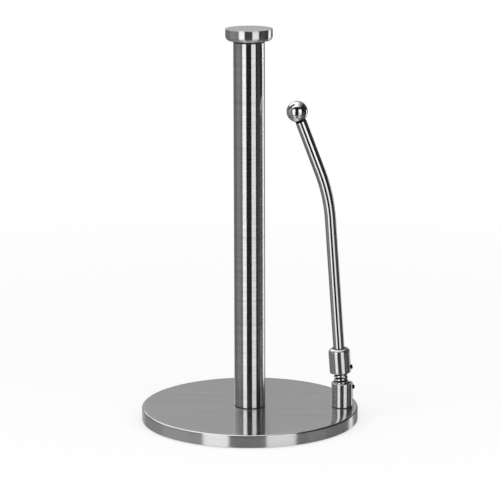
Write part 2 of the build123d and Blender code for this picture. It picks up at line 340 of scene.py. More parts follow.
# Black oxide on alloy steel: near black with a dull oily sheen, a little browner where it has rubbed.
BLACK_OXIDE = GrainedSurface("black_oxide_steel", "#161617", "#0B0B0C", 0.46, 0.08, 0.002, 2.0, 0.25,
                             metallic=0.85)

# Zinc plate on mild steel: pale grey with a cloudy passivated bloom.
ZINC_PLATE = GrainedSurface("zinc_plated_steel", "#C4C6C9", "#A8AAAE", 0.34, 0.08, 0.002, 3.0, 0.4)

# Aluminium bar as cut: light, soft grey with small tool marks.
CUT_ALUMINIUM = GrainedSurface("machined_aluminium", "#D2D3D4", "#B7B9BB", 0.38, 0.07, 0.003, 2.5, 0.3)

# Grey iron casting under dark paint: pitted skin, matt.
CAST_IRON = GrainedSurface("painted_cast_iron", "#3A3A3B", "#262627", 0.66, 0.1, 0.06, 8.0, 0.7, metallic=0.2)

# Closed-cell foam rubber: black, matt and finely pored.
FOAM_RUBBER = GrainedSurface("black_foam_rubber", "#232324", "#151515", 0.86, 0.06, 0.03, 12.0, 0.5,
                             metallic=0.0, specular=0.3)

# Moulded rubber ring: black and smoother than the foam.
SOLID_RUBBER = GrainedSurface("black_moulded_rubber", "#1C1C1D", "#121212", 0.62, 0.06, 0.006, 4.0, 0.4,
                              metallic=0.0, specular=0.4)


@dataclass(frozen=True)
class TurnAxis:
    """Line in the XZ plane that a turned piece is symmetrical about. Heights and radii are millimetres."""

    origin: Vector
    direction: Vector

    def at(self, height: float) -> Vector:
        """Point on the axis at a height, in metres."""
        return self.origin + self.direction * height * MM

    def side(self) -> Vector:
        """Direction square to the axis in the XZ plane, towards +X on an upright axis."""
        return BACK.cross(self.direction)

    def reach(self, place: Vector) -> float:
        """Distance of a place in metres from the axis, in millimetres."""
        return (place - self.origin).cross(self.direction).length / MM

    def point(self, radius: float, angle: float, height: float) -> Vector:
        """Point in metres at a radius, at an angle counted from +Y, and at a height."""
        return self.at(height) + (BACK * math.cos(angle) + self.side() * math.sin(angle)) * radius * MM


@dataclass
class Turning:
    """Closed outline, drawn in radius and height in millimetres, that is turned round an axis into a mesh."""

    axis: TurnAxis
    sides: int
    stations: list[tuple[float, float, Lines, Section]] = field(default_factory=list)

    def start(self, radius: float, height: float) -> "Turning":
        """Puts down the first point of the outline."""
        self.stations.append((radius, height, Lines.ROUND, Section.CIRCLE))
        return self

    def line(self, *ends: tuple[float, float], lines: Lines = Lines.ROUND,
             section: Section = Section.CIRCLE) -> "Turning":
        """Draws straight runs, each with a ring close to both ends so that its shading stays flat.

        Args:
            ends: Radius and height at the end of each run.
            lines: Way that the finish lines run on them.
            section: Outline at the end of each run.

        Returns:
            The turning itself, to draw on.
        """
        for radius, height in ends:
            r0, h0, _, was = self.stations[-1]
            length = math.hypot(radius - r0, height - h0)
            if was is section and length > 4 * EDGE_INSET_MM:
                for share in (EDGE_INSET_MM / length, 1 - EDGE_INSET_MM / length):
                    r, h = r0 + (radius - r0) * share, h0 + (height - h0) * share
                    self.stations.append((r, h, lines, section))
            self.stations.append((radius, height, lines, section))
        return self

    def arc(self, centre: tuple[float, float], radius: float, first: float, last: float, steps: int,
            lines: Lines = Lines.ROUND) -> "Turning":
        """Draws an arc from where the outline stands.

        Args:
            centre: Radius and height of the arc's middle.
            radius: Radius of the arc.
            first: Angle at its start, in degrees from outwards towards up.
            last: Angle at its end.
            steps: Number of straight steps in it.
            lines: Way that the finish lines run on it.

        Returns:
            The turning itself, to draw on.
        """
        for step in range(1, steps + 1):
            turn = math.radians(first + (last - first) * step / steps)
            r, h = centre[0] + radius * math.cos(turn), centre[1] + radius * math.sin(turn)
            self.stations.append((max(r, 0.0), h, lines, Section.CIRCLE))
        return self

    def mesh(self, name: str) -> Any:
        """Turns the outline round the axis.

        Args:
            name: Name of the mesh.

        Returns:
            A closed mesh with its brush map, faces outward, smooth but for its edges.
        """
        points: list[Vector] = []
        rings: list[list[int]] = []
        for radius, height, _, section in self.stations:
            count = 1 if radius < POINT_RADIUS_MM else self.sides
            rings.append(list(range(len(points), len(points) + count)))
            for k in range(count):
                angle = 2 * math.pi * k / self.sides
                reach = radius
                if section is Section.HEXAGON:
                    sixth = math.pi / 3
                    reach = radius / math.cos((angle + sixth / 2) % sixth - sixth / 2)
                points.append(self.axis.point(reach, angle, height))
        widest = max(s[0] for s in self.stations)
        faces: list[tuple[int, ...]] = []
        places: list[tuple[float, float]] = []
        run = 0.0
        total = len(self.stations)
        for i in range(total):
            j = (i + 1) % total
            (r0, h0, _, _), (r1, h1, lines, _) = self.stations[i], self.stations[j]
            step = math.hypot(r1 - r0, h1 - h0)
            a, b = rings[i], rings[j]
            if len(a) == 1 and len(b) == 1:
                continue
            for k in range(self.sides):
                n = (k + 1) % self.sides
                corners = [(a, k, k), (b, k, k), (b, n, k + 1), (a, n, k + 1)]
                if len(a) == 1:
                    corners.pop()
                elif len(b) == 1:
                    corners.pop(2)
                face = [ring[index % len(ring)] for ring, index, _ in corners]
                faces.append(tuple(face))
                for (ring, _, turn), vertex in zip(corners, face):
                    if lines is Lines.ACROSS:
                        places.append((points[vertex].y, points[vertex].x))
                    else:
                        across = run + (step if ring is b else 0.0)
                        places.append((across * MM, 2 * math.pi * turn / self.sides * widest * MM))
            run += step
        mesh = bpy.data.meshes.new(name)
        mesh.from_pydata(points, [], faces)
        layer = mesh.uv_layers.new(name=BRUSH_MAP)
        layer.data.foreach_set("uv", [x for place in places for x in place])
        return finish_mesh(mesh)


def finish_mesh(mesh: Any) -> Any:
    """Points a closed mesh's faces outward and shades it smooth, with its edges kept sharp.

    Args:
        mesh: The mesh.

    Returns:
        The same mesh.
    """
    work = bmesh.new()
    work.from_mesh(mesh)
    bmesh.ops.recalc_face_normals(work, faces=work.faces)
    work.to_mesh(mesh)
    work.free()
    mesh.shade_smooth()
    mesh.set_sharp_from_angle(angle=SHARP_ANGLE)
    return mesh


def put(name: str, data: Any) -> Any:
    """Puts a new object in the scene.

    Args:
        name: Its name.
        data: Its mesh, lamp or camera.

    Returns:
        The object.
    """
    thing = bpy.data.objects.new(name, data)
    bpy.context.scene.collection.objects.link(thing)
    return thing


def new_tree(name: str, sizes: dict[str, Any]) -> tuple[Any, Any]:
    """Makes a geometry node tree with one named input for each size.

    Args:
        name: Name of the tree.
        sizes: Names of the inputs, with values that show their type.

    Returns:
        The tree and the sockets of its inputs.
    """
    tree = bpy.data.node_groups.new(name, "GeometryNodeTree")
    tree.interface.new_socket(name="Geometry", in_out="INPUT", socket_type="NodeSocketGeometry")
    kinds = {int: "NodeSocketInt", float: "NodeSocketFloat", Vector: "NodeSocketVector"}
    for label, value in sizes.items():
        tree.interface.new_socket(name=label, in_out="INPUT", socket_type=kinds[type(value)])
    tree.interface.new_socket(name="Geometry", in_out="OUTPUT", socket_type="NodeSocketGeometry")
    return tree, add_node(tree, "NodeGroupInput").outputs


def close_tree(tree: Any, shape: Any, material: Any) -> None:
    """Ends a geometry node tree with real geometry and its material.

    Args:
        tree: The tree.
        shape: Node of the finished shape.
        material: Material that the shape gets.
    """
    real = add_node(tree, "GeometryNodeRealizeInstances", {"Geometry": shape})
    dressed = add_node(tree, "GeometryNodeSetMaterial", {"Geometry": real, "Material": material})
    add_node(tree, "NodeGroupOutput", {"Geometry": dressed})


def grow(name: str, tree: Any, sizes: dict[str, Any], core: Any | None = None) -> Any:
    """Runs a geometry node tree and keeps its result as a plain mesh.

    Args:
        name: Name of the mesh.
        tree: The tree.
        sizes: Value of each of its named inputs.
        core: Mesh that the tree starts from, if it has one.

    Returns:
        The finished mesh.
    """
    carrier = put(name + "_carrier", core or bpy.data.meshes.new(name + "_core"))
    modifier = carrier.modifiers.new("shape", "NODES")
    modifier.node_group = tree
    for item in tree.interface.items_tree:
        if item.in_out == "INPUT" and item.name in sizes:
            modifier[item.identifier] = sizes[item.name]
    evaluated = carrier.evaluated_get(bpy.context.evaluated_depsgraph_get())
    mesh = bpy.data.meshes.new_from_object(evaluated)
    mesh.name = name
    carrier.modifiers.clear()
    bpy.data.objects.remove(carrier)
    return finish_mesh(mesh)


def swept_tube(tree: Any, path: Any, radius: Any, sides: Any, lines_run_round: bool) -> Any:
    """Adds the nodes that sweep a round section along a curve and map its finish lines.

    Args:
        tree: Geometry node tree.
        path: Node of the curve.
        radius: Socket or value of the section's radius.
        sides: Socket or value of the section's number of sides.
        lines_run_round: True where the lines run round the tube, False where they run along it.

    Returns:
        The node of the swept mesh.
    """
    section = add_node(tree, "GeometryNodeCurvePrimitiveCircle", {"Resolution": sides, "Radius": radius})
    measured = {}
    for label, curve in (("along", path), ("around", section)):
        length = add_node(tree, "GeometryNodeSplineParameter").outputs["Length"]
        measured[label] = add_node(tree, "GeometryNodeStoreNamedAttribute",
                                   {"Geometry": curve, "Name": label, "Value": length},
                                   data_type="FLOAT", domain="POINT")
    tube = add_node(tree, "GeometryNodeCurveToMesh", {
        "Curve": measured["along"], "Profile Curve": measured["around"], "Fill Caps": True})
    order = ("along", "around") if lines_run_round else ("around", "along")
    across, along = (add_node(tree, "GeometryNodeInputNamedAttribute", {"Name": label}, data_type="FLOAT")
                     for label in order)
    place = add_node(tree, "ShaderNodeCombineXYZ", {0: across, 1: along})
    shape = add_node(tree, "GeometryNodeStoreNamedAttribute",
                     {"Geometry": tube, "Name": BRUSH_MAP, "Value": place},
                     data_type="FLOAT2", domain="CORNER")
    for label in order:
        shape = add_node(tree, "GeometryNodeRemoveAttribute", {"Geometry": shape, "Name": label})
    return shape


def seat(name: str, mesh: Any, node: str, body: Body | None) -> Any:
    """Makes a piece of a mesh, in place of a CAD node.

    Args:
        name: Name of the piece.
        mesh: Finished mesh, with its material.
        node: CAD node that it stands for.
        body: CAD body that it rides on, or None where it rides on none.

    Returns:
        The new object.
    """
    piece = put(name, mesh)
    if body:
        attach(piece, body.value)
    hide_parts(node)
    LOG.info("%s: %d faces, stands for %s", name, len(mesh.polygons), node)
    return piece


def dress(finish: Finish, *nodes: str) -> None:
    """Gives CAD nodes that stay a finish.

    Args:
        finish: The finish.
        nodes: Names of the CAD nodes.
    """
    material = finish.material()
    for node in nodes:
        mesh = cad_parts[node].data
        mesh.materials.clear()
        mesh.materials.append(material)
        LOG.info("%s: CAD mesh, %s", node, finish.name)


def upright_extent(node: str) -> tuple[float, float, float]:
    """Measures a CAD node that is round about the pole's axis.

    Args:
        node: Name of the CAD node.

    Returns:
        Its radius, bottom and top, in millimetres.
    """
    low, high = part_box(node)
    return high.x / MM, low.z / MM, high.z / MM


UPRIGHT = TurnAxis(Vector((0, 0, 0)), UP)


@dataclass
class Foot:
    """Weighted foot: drawn cover, casting, pad and the screws from below. Sizes in millimetres."""

    sheet: float = 0.8
    edge_radius: float = 1.2
    roll_width: float = 6.0
    roll_angle: float = 3.0
    lip_radius: float = 0.2
    bolt_hole: float = 3.3
    rim_slope: float = 0.05
    sides: int = 256

    def cover(self) -> Any:
        """Turns the drawn cover, with its rolled edge and the wall inside it.

        Returns:
            The cover's mesh.
        """
        radius, bottom, top = upright_extent("base_cover")
        angle = math.radians(self.roll_angle)
        roll = self.roll_width / math.sin(angle)
        flat = radius - self.edge_radius * (1 - math.sin(angle)) - self.roll_width
        roll_centre = (flat, top - roll)
        edge_centre = (radius - self.edge_radius, top - roll + (roll - self.edge_radius) * math.cos(angle))
        brow = 90 - self.roll_angle
        lip, wall = self.lip_radius, radius - self.sheet
        turning = Turning(UPRIGHT, self.sides).start(self.bolt_hole, top)
        turning.line((flat, top), lines=Lines.ACROSS)
        turning.arc(roll_centre, roll, 90, brow, 6, Lines.ACROSS)
        turning.arc(edge_centre, self.edge_radius, brow, 0, 14)
        turning.line((radius, bottom + lip))
        turning.arc((radius - lip, bottom + lip), lip, 0, -90, 5)
        turning.line((wall + lip, bottom))
        turning.arc((wall + lip, bottom + lip), lip, -90, -180, 5)
        turning.line((wall, edge_centre[1]))
        turning.arc(edge_centre, self.edge_radius - self.sheet, 0, brow, 10)
        turning.arc(roll_centre, roll - self.sheet, brow, 90, 4)
        turning.line((self.bolt_hole, top - self.sheet))
        return turning.mesh("base_cover_skin")

    def build(self) -> None:
        """Makes the cover and dresses what is under it."""
        mesh = self.cover()
        for steel in (SHEET_STEEL, RIM_STEEL):
            mesh.materials.append(steel.material())
        for face in mesh.polygons:
            face.material_index = int(abs(face.normal.z) < self.rim_slope)
        seat("foot_cover", mesh, "base_cover", Body.BASE)
        dress(CAST_IRON, "base_weight")
        dress(FOAM_RUBBER, "underside_pad")
        dress(ZINC_PLATE, "pole_bolt", "pole_bolt_washer", "post_screw", "post_screw_washer")


@dataclass
class Pole:
    """Upright tube with its rings, plugs and stud, and the cap that a roll's core goes over. Millimetres."""

    wall: float = 1.0
    end_break: float = 0.3
    cap_top_radius: float = 0.2
    cap_bottom_radius: float = 3.6
    stud_hole: float = 3.05
    stud_depth: float = 6.0
    tube_sides: int = 192
    cap_sides: int = 224

    def tube(self) -> Any:
        """Turns the tube, bore and all.

        Returns:
            The tube's mesh.
        """
        radius, bottom, top = upright_extent("pole_tube")
        bore, cut = radius - self.wall, self.end_break
        turning = Turning(UPRIGHT, self.tube_sides).start(bore, top)
        turning.line((radius - cut, top), (radius, top - cut), (radius, bottom + cut), (radius - cut, bottom))
        turning.line((bore, bottom), (bore, top))
        turning.stations.pop()
        return turning.mesh("pole_tube_skin")

    def cap(self) -> Any:
        """Turns the cap, with the blind hole for its stud.

        Returns:
            The cap's mesh.
        """
        radius, bottom, top = upright_extent("top_cap")
        over, under = self.cap_top_radius, self.cap_bottom_radius
        hole, hole_top = self.stud_hole, bottom + self.stud_depth
        turning = Turning(UPRIGHT, self.cap_sides).start(0, top)
        turning.line((radius - over, top), lines=Lines.ACROSS)
        turning.arc((radius - over, top - over), over, 90, 0, 8)
        turning.line((radius, bottom + under))
        turning.arc((radius - under, bottom + under), under, 0, -90, 16)
        turning.line((hole, bottom), (hole, hole_top), (0, hole_top))
        return turning.mesh("top_cap_skin")

    def build(self) -> None:
        """Makes the tube and the cap and dresses the pieces inside them."""
        for name, mesh, node, steel in (("pole_skin", self.tube(), "pole_tube", TURNED_STEEL),
                                        ("cap_skin", self.cap(), "top_cap", CAP_STEEL)):
            mesh.materials.append(steel.material())
            seat(name, mesh, node, Body.BASE)
        dress(SOLID_RUBBER, "pole_gasket", "cap_gasket")
        dress(CUT_ALUMINIUM, "pole_foot_plug", "pole_head_plug")
        dress(ZINC_PLATE, "cap_stud")


@dataclass
class SetScrew:
    """Socket set screw with a thread that shows. Sizes in millimetres."""

    radius: float = 2.0
    point: float = 0.8
    end_chamfer: float = 0.4
    socket: float = 2.0
    socket_depth: float = 2.0
    pitch: float = 0.7
    thread_depth: float = 0.38
    sides: int = 48
    turn_steps: int = 40
    ridge_sides: int = 6

    def thread_tree(self, material: Any, axis: TurnAxis, sizes: dict[str, Any]) -> Any:
        """Builds the tree that winds a ridge round the core.

        Args:
            material: Material of the screw.
            axis: Axis of the screw, from its point to its socket.
            sizes: Named inputs of the tree.

        Returns:
            The tree.
        """
        tree, given = new_tree("set_screw_thread", sizes)
        root = given["Root Radius"]
        coil = add_node(tree, "GeometryNodeCurveSpiral", {
            "Resolution": self.turn_steps, "Rotations": given["Turns"], "Start Radius": root,
            "End Radius": root, "Height": given["Rise"], "Reverse": True})
        ridge = add_node(tree, "GeometryNodeCurvePrimitiveCircle",
                         {"Resolution": self.ridge_sides, "Radius": given["Ridge Radius"]})
        wound = add_node(tree, "GeometryNodeCurveToMesh",
                         {"Curve": coil, "Profile Curve": ridge, "Fill Caps": True})
        turn = axis.direction.to_track_quat("Z", "Y").to_euler()
        placed = add_node(tree, "GeometryNodeTransform",
                          {"Geometry": wound, "Translation": given["Start"], "Rotation": tuple(turn)})
        joined = add_node(tree, "GeometryNodeJoinGeometry")
        for part in (given["Geometry"], placed.outputs[0]):
            tree.links.new(part, joined.inputs[0])
        close_tree(tree, joined, material)
        return tree

    def mesh(self, name: str, axis: TurnAxis, length: float, material: Any) -> Any:
        """Turns the core with its socket and winds the thread on it.

        Args:
            name: Name of the mesh.
            axis: Axis of the screw, from its point to its socket.
            length: Length of the screw.
            material: Material of the screw.

        Returns:
            The screw's mesh.
        """
        root, ridge = self.radius - self.thread_depth, self.thread_depth
        half, socket_floor = self.socket / 2, length - self.socket_depth
        core = Turning(axis, self.sides).start(0, 0)
        core.line((root - self.point, 0), (root, self.point), (root, length - self.end_chamfer),
                  (root - self.end_chamfer / 2, length))
        core.line((half, length), (half, socket_floor), (0, socket_floor), section=Section.HEXAGON)
        rise = length - self.point - self.end_chamfer - 2 * ridge
        sizes = {"Turns": rise / self.pitch, "Root Radius": root * MM, "Rise": rise * MM,
                 "Ridge Radius": ridge * MM, "Start": axis.at(self.point + ridge)}
        return grow(name, self.thread_tree(material, axis, sizes), sizes, core.mesh(name + "_core"))


@dataclass
class SprungArm:
    """Post, coil spring, collar, bent rod and ball. Millimetres, with heights along the arm's own axis."""

    lean: float = 3.9
    post_wall: float = 2.0
    bore_depth: float = 12.2
    floor_skin: float = 1.9
    post_break: float = 0.3
    mouth_chamfer: float = 0.4
    post_screw_hole: float = 2.55
    post_set_screw_drop: float = 3.6
    spring_radius: float = 5.8
    wire_radius: float = 1.0
    pitch: float = 2.9
    end_clearance: float = 0.2
    gap: float = 8.5
    pocket: float = 10.0
    pocket_radius: float = 5.95
    web: float = 1.6
    seat_depth: float = 8.9
    seat_radius: float = 4.65
    collar_top_radius: float = 3.3
    collar_bottom_radius: float = 0.6
    collar_set_screw_rise: float = 4.1
    rod_radius: float = 4.6
    lower_length: float = 127.5
    upper_length: float = 64.3
    bend_angle: float = 16.74
    bend_radius: float = 136.0
    neck: float = 1.7
    ball_radius: float = 8.6
    ball_hole: float = 2.05
    ball_hole_depth: float = 6.0
    # Where the wire's painted shade is full and where it ends, as shares of the wire's radius out from its
    # middle.
    painted_shade_from: float = 0.42
    painted_shade_to: float = 0.78
    split: float = 18.0
    flex_low: float = 10.2
    flex_high: float = 24.5
    sides: int = 144
    rod_sides: int = 96
    bend_steps: int = 48
    wire_sides: int = 28
    turn_steps: int = 96

    def __post_init__(self) -> None:
        """Works out the axes and the heights along them from the post's place in the frame."""
        low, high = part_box("arm_post")
        self.post_radius = (high.x - low.x) / 2 / MM
        self.post_axis = TurnAxis(Vector(((low.x + high.x) / 2, 0, 0)), UP)
        self.post_bottom, self.post_top = low.z / MM, high.z / MM
        self.bore_floor = self.post_top - self.bore_depth
        self.axis = TurnAxis(self.post_axis.at(self.bore_floor), self.leaning(self.lean))
        self.collar_bottom = self.bore_depth / math.cos(math.radians(self.lean)) + self.gap
        self.web_bottom = self.collar_bottom + self.pocket
        self.rod_foot = self.web_bottom + self.web
        self.collar_top = self.rod_foot + self.seat_depth
        self.corner = self.collar_top + self.lower_length
        tip = self.leaning(self.lean + self.bend_angle)
        self.tip_axis = TurnAxis(self.axis.at(self.corner) + tip * self.upper_length * MM, tip)
        foot = self.spring_radius * math.tan(math.radians(self.lean)) + self.end_clearance
        self.coil_start = foot + self.wire_radius
        self.coil_end = self.web_bottom - self.end_clearance - self.wire_radius

    @staticmethod
    def leaning(degrees: float) -> Vector:
        """Direction that leans from upright towards the pole."""
        angle = math.radians(degrees)
        return Vector((-math.sin(angle), 0, math.cos(angle)))

    def post(self) -> Any:
        """Turns the post, bored from above for the spring and from below for its screw.

        Returns:
            The post's mesh.
        """
        radius, bottom, top, cut = self.post_radius, self.post_bottom, self.post_top, self.post_break
        bore, floor, chamfer = radius - self.post_wall, self.bore_floor, self.mouth_chamfer
        hole, hole_top = self.post_screw_hole, floor - self.floor_skin
        turning = Turning(self.post_axis, self.sides).start(0, floor)
        turning.line((bore, floor), (bore, top - chamfer), (bore + chamfer, top), (radius - cut, top))
        turning.line((radius, top - cut), (radius, bottom + cut), (radius - cut, bottom))
        turning.line((hole, bottom), (hole, hole_top), (0, hole_top))
        return turning.mesh("arm_post_skin")

    def collar(self) -> Any:
        """Turns the collar, with the spring's pocket below and the rod's seat above.

        Returns:
            The collar's mesh.
        """
        radius, over, under = self.post_radius, self.collar_top_radius, self.collar_bottom_radius
        bottom, top, pocket, bore = self.collar_bottom, self.collar_top, self.pocket_radius, self.seat_radius
        turning = Turning(self.axis, self.sides).start(0, self.web_bottom)
        turning.line((pocket, self.web_bottom), (pocket, bottom), (radius - under, bottom))
        turning.arc((radius - under, bottom + under), under, -90, 0, 8)
        turning.line((radius, top - over))
        turning.arc((radius - over, top - over), over, 0, 90, 14)
        turning.line((bore, top), (bore, self.rod_foot), (0, self.rod_foot))
        return turning.mesh("arm_collar_skin")

    def ball(self) -> Any:
        """Turns the ball, with its flat seat and the blind hole for its stud.

        Returns:
            The ball's mesh.
        """
        flat = math.sqrt(self.ball_radius**2 - self.rod_radius**2)
        hole, hole_top = self.ball_hole, self.neck + self.ball_hole_depth
        turning = Turning(self.tip_axis, self.sides).start(0, hole_top)
        turning.line((hole, hole_top), (hole, self.neck), (self.rod_radius, self.neck))
        first = -math.degrees(math.asin(flat / self.ball_radius))
        turning.arc((0, self.neck + flat), self.ball_radius, first, 90, 60)
        return turning.mesh("ball_skin")

    def rod(self, material: Any) -> Any:
        """Sweeps the bent rod along its path.

        Args:
            material: Material of the rod.

        Returns:
            The rod's mesh.
        """
        places = {"Foot": self.axis.at(self.rod_foot), "Corner": self.axis.at(self.corner),
                  "Tip": self.tip_axis.at(0)}
        sizes = {**places, "Bend Radius": self.bend_radius * MM, "Rod Radius": self.rod_radius * MM,
                 "Bend Steps": self.bend_steps, "Rod Sides": self.rod_sides}
        tree, given = new_tree("bent_rod", sizes)
        count = add_node(tree, "GeometryNodeMeshLine", {"Count": len(places)})
        index = add_node(tree, "GeometryNodeInputIndex")
        place = add_node(tree, "GeometryNodeIndexSwitch", {"Index": index}, data_type="VECTOR")
        place.index_switch_items.new()
        for number, label in enumerate(places):
            tree.links.new(given[label], place.inputs[number + 1])
        laid = add_node(tree, "GeometryNodeSetPosition", {"Geometry": count, "Position": place})
        path = add_node(tree, "GeometryNodeMeshToCurve", {"Mesh": laid})
        bent = add_node(tree, "GeometryNodeFilletCurve", {
            "Curve": path, "Count": given["Bend Steps"], "Radius": given["Bend Radius"]}, mode="POLY")
        close_tree(tree, swept_tube(tree, bent, given["Rod Radius"], given["Rod Sides"], True), material)
        return grow("arm_rod_skin", tree, sizes)

    def coil(self, name: str, first: float, last: float, material: Any) -> Any:
        """Winds one part of the spring.

        Args:
            name: Name of the mesh.
            first: Height of the wire's middle at the part's start.
            last: Height of the wire's middle at its end.
            material: Material of the wire.

        Returns:
            The part's mesh.
        """
        begun = (first - self.coil_start) / self.pitch
        middle, wire_radius = (self.spring_radius - self.wire_radius) * MM, self.wire_radius * MM
        sizes = {"Turns": (last - first) / self.pitch, "Rise": (last - first) * MM, "Coil Radius": middle,
                 "Wire Radius": wire_radius, "First Turn": 2 * math.pi * begun,
                 "Back Lean": -math.radians(self.lean), "Start": self.axis.at(first),
                 "Steps": self.turn_steps, "Wire Sides": self.wire_sides,
                 "Painted Shade Edge": middle + self.painted_shade_from * wire_radius,
                 "Unshaded Edge": middle + self.painted_shade_to * wire_radius}
        tree, given = new_tree("spring_coil", sizes)
        radius = given["Coil Radius"]
        path = add_node(tree, "GeometryNodeCurveSpiral", {
            "Resolution": given["Steps"], "Rotations": given["Turns"], "Start Radius": radius,
            "End Radius": radius, "Height": given["Rise"], "Reverse": True})
        wire = swept_tube(tree, path, given["Wire Radius"], given["Wire Sides"], False)
        # Painted shade: a share that runs from 1 on the wire's faces towards the spring's axis to 0 on its
        # outer faces, so the wire goes near black between the coils and inside them.
        here = add_node(tree, "GeometryNodeInputPosition")
        level = add_node(tree, "ShaderNodeVectorMath", {0: here, 1: (1.0, 1.0, 0.0)}, operation="MULTIPLY")
        reach = add_node(tree, "ShaderNodeVectorMath", {0: level}, operation="LENGTH")
        shade_share = add_node(tree, "ShaderNodeMapRange", {
            "Value": reach, "From Min": given["Painted Shade Edge"], "From Max": given["Unshaded Edge"],
            "To Min": 1.0, "To Max": 0.0}, interpolation_type="SMOOTHSTEP")
        shaded_wire = add_node(tree, "GeometryNodeStoreNamedAttribute",
                          {"Geometry": wire, "Name": PAINTED_SHADE_MAP, "Value": shade_share},
                          data_type="FLOAT", domain="POINT")
        first_turn = add_node(tree, "ShaderNodeCombineXYZ", {2: given["First Turn"]})
        turned = add_node(tree, "GeometryNodeTransform", {"Geometry": shaded_wire, "Rotation": first_turn})
        tilt = add_node(tree, "ShaderNodeCombineXYZ", {1: given["Back Lean"]})
        stood = add_node(tree, "GeometryNodeTransform",
                         {"Geometry": turned, "Rotation": tilt, "Translation": given["Start"]})
        close_tree(tree, stood, material)
        return grow(name, tree, sizes)

    def build_spring(self) -> None:
        """Makes the spring as two parts that meet."""
        wire = SPRING_WIRE.material()
        below, above = self.split - self.wire_radius, self.split + self.wire_radius
        for name, first, last, lower, upper, start, end in (
                ("spring_lower", self.coil_start, self.split, Body.BASE, Body.SPRING, self.flex_low, below),
                ("spring_upper", self.split, self.coil_end, Body.SPRING, Body.ARM, above, self.flex_high)):
            mesh = self.coil(name + "_wire", first, last, wire)
            part = seat(name, mesh, "tension_spring", None)
            self.axis.at(start)
            self.axis.at(end)
            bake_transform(part)

    def build_set_screws(self) -> None:
        """Makes the two set screws that pin the spring's ends."""
        black = BLACK_OXIDE.material()
        screw = SetScrew()
        low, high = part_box("post_set_screw")
        height = self.post_top - self.post_set_screw_drop
        axis = TurnAxis(Vector((low.x, 0, height * MM)), Vector((1, 0, 0)))
        mesh = screw.mesh("post_set_screw_skin", axis, (high.x - low.x) / MM, black)
        seat("post_grub_screw", mesh, "post_set_screw", Body.BASE)
        out = self.axis.side()
        start = self.axis.at(self.collar_bottom + self.collar_set_screw_rise) + out * self.pocket_radius * MM
        low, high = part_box("collar_set_screw")
        length = (high.x - screw.radius * MM * abs(self.axis.direction.x) - start.x) / out.x / MM
        mesh = screw.mesh("collar_set_screw_skin", TurnAxis(start, out), length, black)
        seat("collar_grub_screw", mesh, "collar_set_screw", Body.ARM)

    def build(self) -> None:
        """Makes every piece from the post to the ball."""
        steels = FITTING_STEEL.material(), BORE_PAINTED_SHADE.material()
        post_bore = self.post_radius - self.post_wall
        for name, mesh, node, body, axis, bore in (
                ("post_skin", self.post(), "arm_post", Body.BASE, self.post_axis, post_bore),
                ("collar_skin", self.collar(), "arm_collar", Body.ARM, self.axis, self.pocket_radius)):
            for steel in steels:
                mesh.materials.append(steel)
            # Faces inside the bore take the second material, whose dark tone is painted shade.
            for face in mesh.polygons:
                face.material_index = int(axis.reach(face.center) < bore + EDGE_INSET_MM)
            seat(name, mesh, node, body)
        seat("arm_rod", self.rod(ROD_STEEL.material()), "arm_tube", Body.ARM)
        ball = self.ball()
        ball.materials.append(MIRROR_STEEL.material())
        seat("ball_tip", ball, "ball_finial", Body.ARM)
        self.build_spring()
        self.build_set_screws()
        dress(SOLID_RUBBER, "post_gasket")
        dress(BLACK_OXIDE, "tip_plug")
        dress(ZINC_PLATE, "ball_stud")


@dataclass(frozen=True)
class Card:
    """Upright card of the studio that only reflections see: a lit softbox face, a grey card or a black flag.

    Angles are degrees: first and last count from the camera towards its right, low and high from level up.
    """

    name: str
    first: float
    last: float
    glow: float
    low: float = -28.0
    high: float = 62.0
    radius: float = 3.2


@dataclass(frozen=True)
class Panel:
    """Level panel of the studio that only reflections see. Its sides and its height are metres."""

    name: str
    left: float
    right: float
    front: float
    back: float
    height: float
    glow: float


@dataclass(frozen=True)
class Lamp:
    """Square soft lamp of the studio that only matt surfaces see. Metres and watts."""

    name: str
    spot: tuple[float, float, float]
    size: float
    power: float


